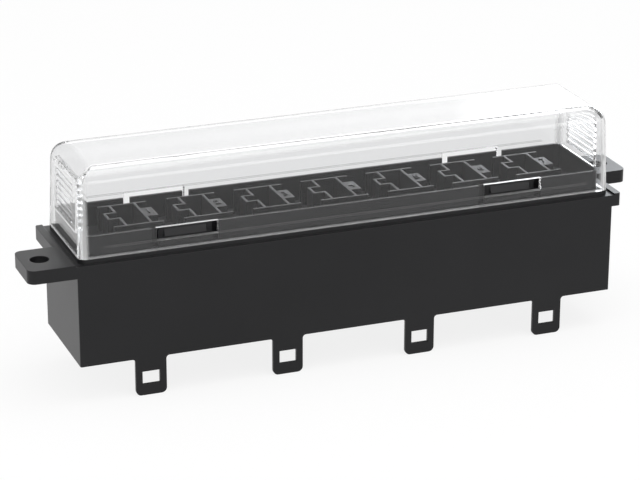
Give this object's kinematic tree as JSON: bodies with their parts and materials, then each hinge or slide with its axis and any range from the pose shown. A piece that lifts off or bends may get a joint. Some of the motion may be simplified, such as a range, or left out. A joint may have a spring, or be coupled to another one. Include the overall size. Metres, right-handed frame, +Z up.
{
  "type": "fuse holder",
  "caption": "Long black holder for a row of blade fuses, with walled sockets, a clear lift-off cover, screw ears on opposite corners and windowed hanging tabs.",
  "frame": {"origin": "centre of the bounding box's underside, midway between the tips of the hanging tabs", "axes": "+X along the row of sockets, +Y from the front to the back, +Z up through the cover"},
  "size_m": [0.2334, 0.0422, 0.0829],
  "materials": {
    "black_plastic": "fine satin moulded black",
    "clear_plastic": "clear, polished, with frosted grip ribs",
    "tinned_brass": "bright tin over brass sheet"
  },
  "bodies": {
    "base": {"housing": "black_plastic", "terminal_1_front": "tinned_brass", "terminal_2_front": "tinned_brass", "terminal_3_front": "tinned_brass", "terminal_4_front": "tinned_brass", "terminal_5_front": "tinned_brass", "terminal_6_front": "tinned_brass", "terminal_7_front": "tinned_brass", "terminal_1_back": "tinned_brass", "terminal_2_back": "tinned_brass", "terminal_3_back": "tinned_brass", "terminal_4_back": "tinned_brass", "terminal_5_back": "tinned_brass", "terminal_6_back": "tinned_brass", "terminal_7_back": "tinned_brass"},
    "lid": {"cover": "clear_plastic"}
  },
  "joints": [
    {"name": "cover_lift", "type": "slide", "parent": "base", "child": "lid", "axis": [0, 0, 1], "range_m": [0, 0.045]}
  ]
}
